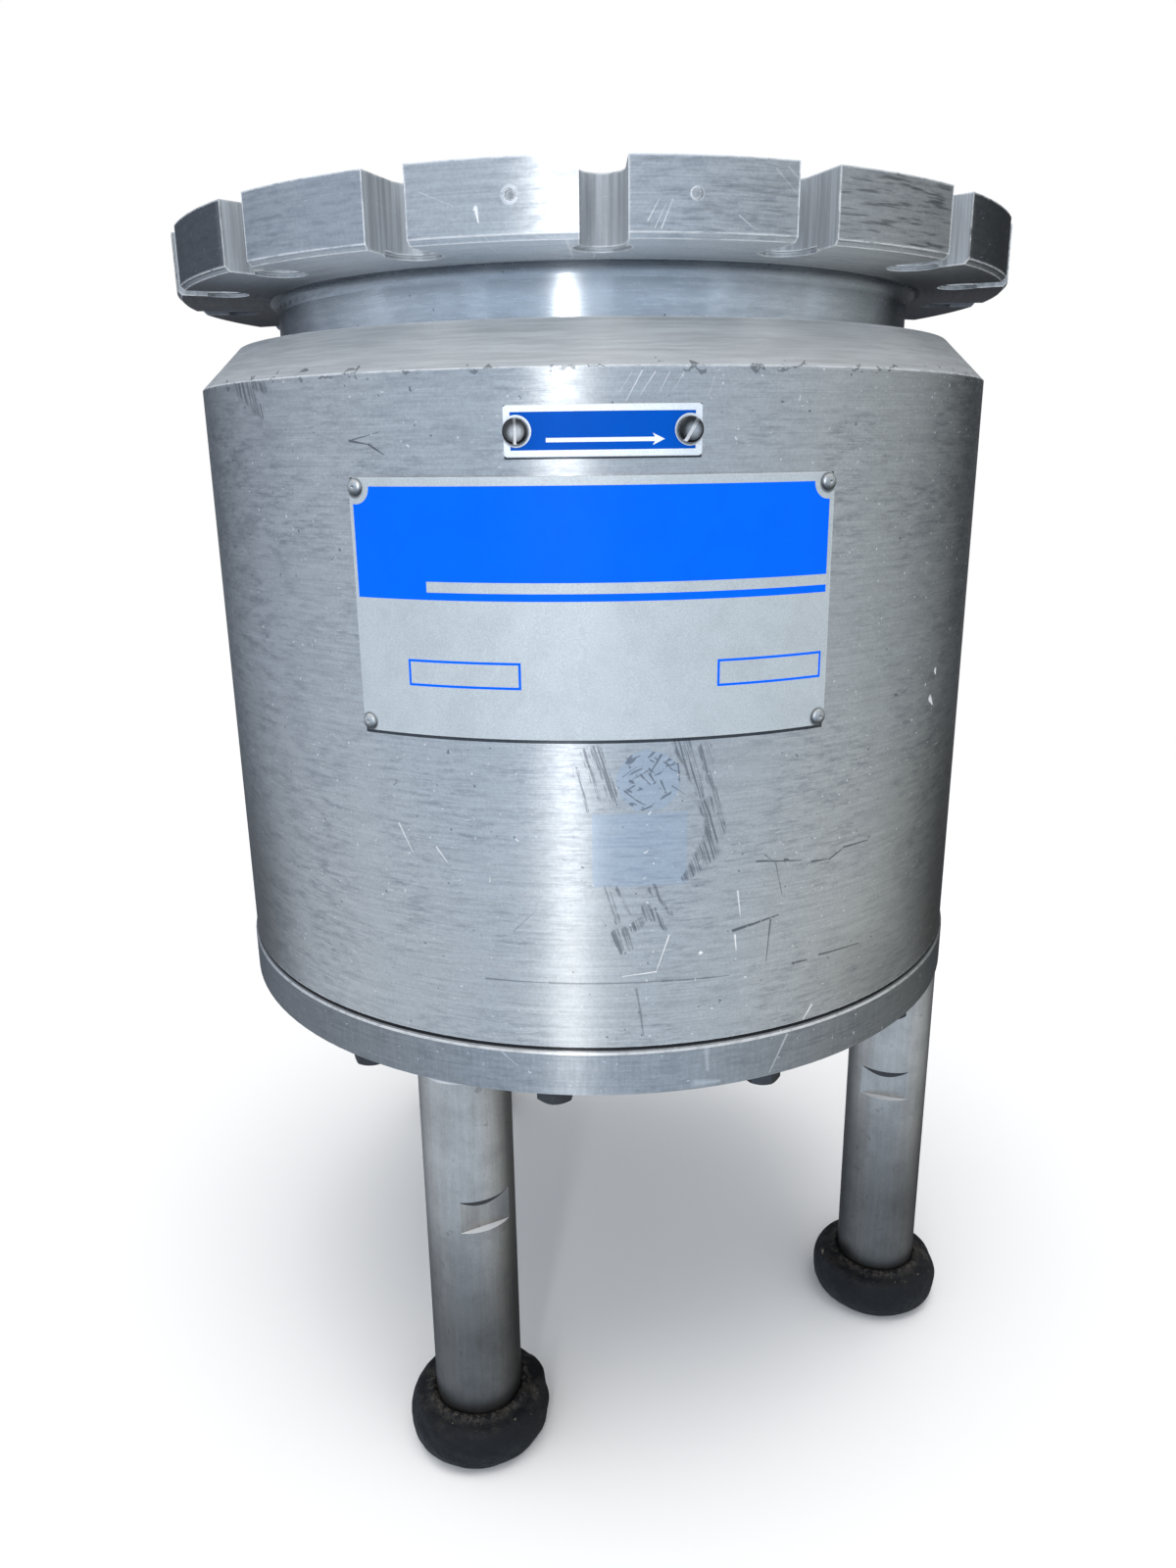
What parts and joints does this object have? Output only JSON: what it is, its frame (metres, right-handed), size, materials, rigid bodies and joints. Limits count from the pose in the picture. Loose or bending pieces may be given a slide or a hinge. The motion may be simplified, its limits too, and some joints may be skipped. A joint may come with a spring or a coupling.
{
  "type": "turbomolecular pump",
  "caption": "Vertical turbomolecular vacuum pump with a slotted inlet flange, bladed rotor and stator stack in a cylindrical body, rear foreline port and rubber-footed legs.",
  "frame": {"origin": "centre of the inlet flange's top face", "axes": "+Z out of the inlet along the rotor's axis, -Y towards the nameplate, +Y along the foreline port"},
  "size_m": [0.2626, 0.2963, 0.375],
  "materials": {
    "ball_ceramic": "ceramic",
    "black_plastic": "moulded",
    "black_steel": "black oxide",
    "body_aluminium": "turned, lightly stained",
    "brass_plug": "turned",
    "bright_steel": "plated",
    "cage_plastic": "phenolic",
    "connector_alloy": "olive plated",
    "copper_winding": "varnished copper",
    "foot_rubber": "dull black, dusty",
    "gold_pins": "gold plated",
    "ground_steel": "ground",
    "iron_stack": "laminated iron",
    "leg_steel": "turned, satin",
    "nameplate_blue": "blue enamel on bare metal",
    "port_steel": "turned stainless",
    "rotor_aluminium": "machined bright",
    "screen_steel": "etched sheet",
    "seal_rubber": "smooth black",
    "spring_steel": "dark spring steel",
    "stack_aluminium": "machined"
  },
  "bodies": {
    "stator": {"base_bolts": "black_steel", "base_plate": "body_aluminium", "base_seal": "seal_rubber", "base_washers": "spring_steel", "bearing_retainer": "ground_steel", "bottom_cover": "body_aluminium", "connector_insert": "black_plastic", "connector_pins": "gold_pins", "connector_screws": "bright_steel", "connector_shell": "connector_alloy", "cooling_nipples": "brass_plug", "cover_screws": "black_steel", "drain_plug": "brass_plug", "foot_1": "foot_rubber", "foot_2": "foot_rubber", "foot_3": "foot_rubber", "foot_screws": "bright_steel", "foreline_port": "port_steel", "housing": "body_aluminium", "inlet_screen": "screen_steel", "inlet_seal": "seal_rubber", "leg_1": "leg_steel", "leg_2": "leg_steel", "leg_3": "leg_steel", "lower_outer_race": "ground_steel", "motor_housing": "stack_aluminium", "motor_screws": "black_steel", "motor_stator": "iron_stack", "motor_windings": "copper_winding", "nameplate": "nameplate_blue", "nameplate_rivets": "bright_steel", "preload_spring": "spring_steel", "retainer_screws": "bright_steel", "retaining_ring": "spring_steel", "rotation_plate": "nameplate_blue", "rotation_screws": "bright_steel", "spacer_ring_1": "stack_aluminium", "spacer_ring_2": "stack_aluminium", "spacer_ring_3": "stack_aluminium", "stator_disc_1": "stack_aluminium", "stator_disc_2": "stack_aluminium", "stator_disc_3": "stack_aluminium", "stator_disc_4": "stack_aluminium", "support_sleeve": "stack_aluminium", "upper_outer_race": "ground_steel"},
    "rotor": {"rotor_shaft": "ground_steel", "rotor_nut": "ground_steel", "lock_nut": "ground_steel", "motor_rotor": "iron_stack", "upper_inner_race": "ground_steel", "lower_inner_race": "ground_steel", "rotor_disc_1": "rotor_aluminium", "rotor_disc_2": "rotor_aluminium", "rotor_disc_3": "rotor_aluminium", "rotor_disc_4": "rotor_aluminium", "rotor_disc_5": "rotor_aluminium"},
    "upper_cage_set": {"upper_cage": "cage_plastic", "upper_balls": "ball_ceramic"},
    "lower_cage_set": {"lower_cage": "cage_plastic", "lower_balls": "ball_ceramic"}
  },
  "joints": [
    {"name": "rotor_spin", "type": "hinge", "parent": "stator", "child": "rotor", "pos_m": [0, 0, -0.18865], "axis": [0, 0, 1], "continuous": true},
    {"name": "upper_cage_spin", "type": "hinge", "parent": "stator", "child": "upper_cage_set", "pos_m": [0, 0, -0.1464], "axis": [0, 0, 1], "continuous": true},
    {"name": "lower_cage_spin", "type": "hinge", "parent": "stator", "child": "lower_cage_set", "pos_m": [0, 0, -0.2279], "axis": [0, 0, 1], "continuous": true}
  ],
  "couplings": [
    {"joint": "upper_cage_spin", "follows": "rotor_spin", "ratio": 0.3987},
    {"joint": "lower_cage_spin", "follows": "rotor_spin", "ratio": 0.3987}
  ]
}
